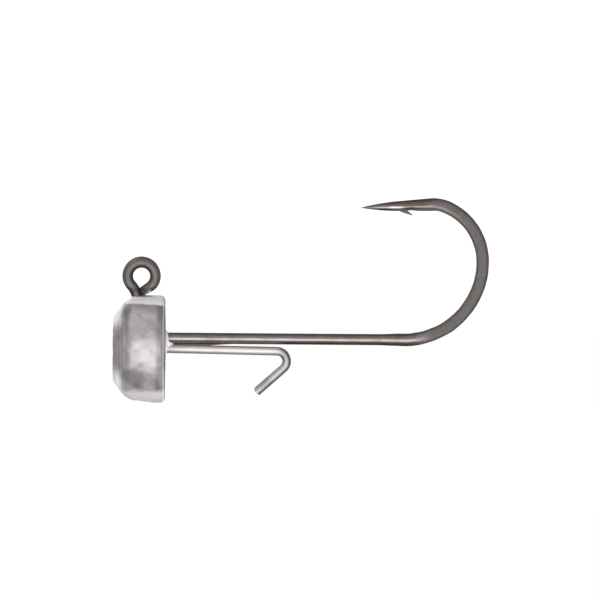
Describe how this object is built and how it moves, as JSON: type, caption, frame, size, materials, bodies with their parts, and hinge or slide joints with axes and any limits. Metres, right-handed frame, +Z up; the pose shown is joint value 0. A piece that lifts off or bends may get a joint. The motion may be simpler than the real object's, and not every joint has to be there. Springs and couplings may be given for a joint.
{
  "type": "jig head",
  "caption": "Fishing jig head: flat-nosed cast lead puck with a closed wire line eye on top, a long-shank barbed hook from its flat back, and a short wire bait keeper below the shank.",
  "frame": {"origin": "centre of the line eye's hole, in the hook's plane", "axes": "+X along the shank from the head towards the bend, +Y square to the hook's plane, +Z up from the shank towards the hook point"},
  "size_m": [0.0375, 0.0108, 0.0207],
  "materials": {
    "cast_lead": "bare cast lead, satin",
    "hook_plating": "bright dark bronze plating",
    "keeper_wire": "bright drawn stainless wire"
  },
  "bodies": {
    "root": {"lead_head": "cast_lead", "hook": "hook_plating", "bait_keeper": "keeper_wire"}
  },
  "joints": []
}
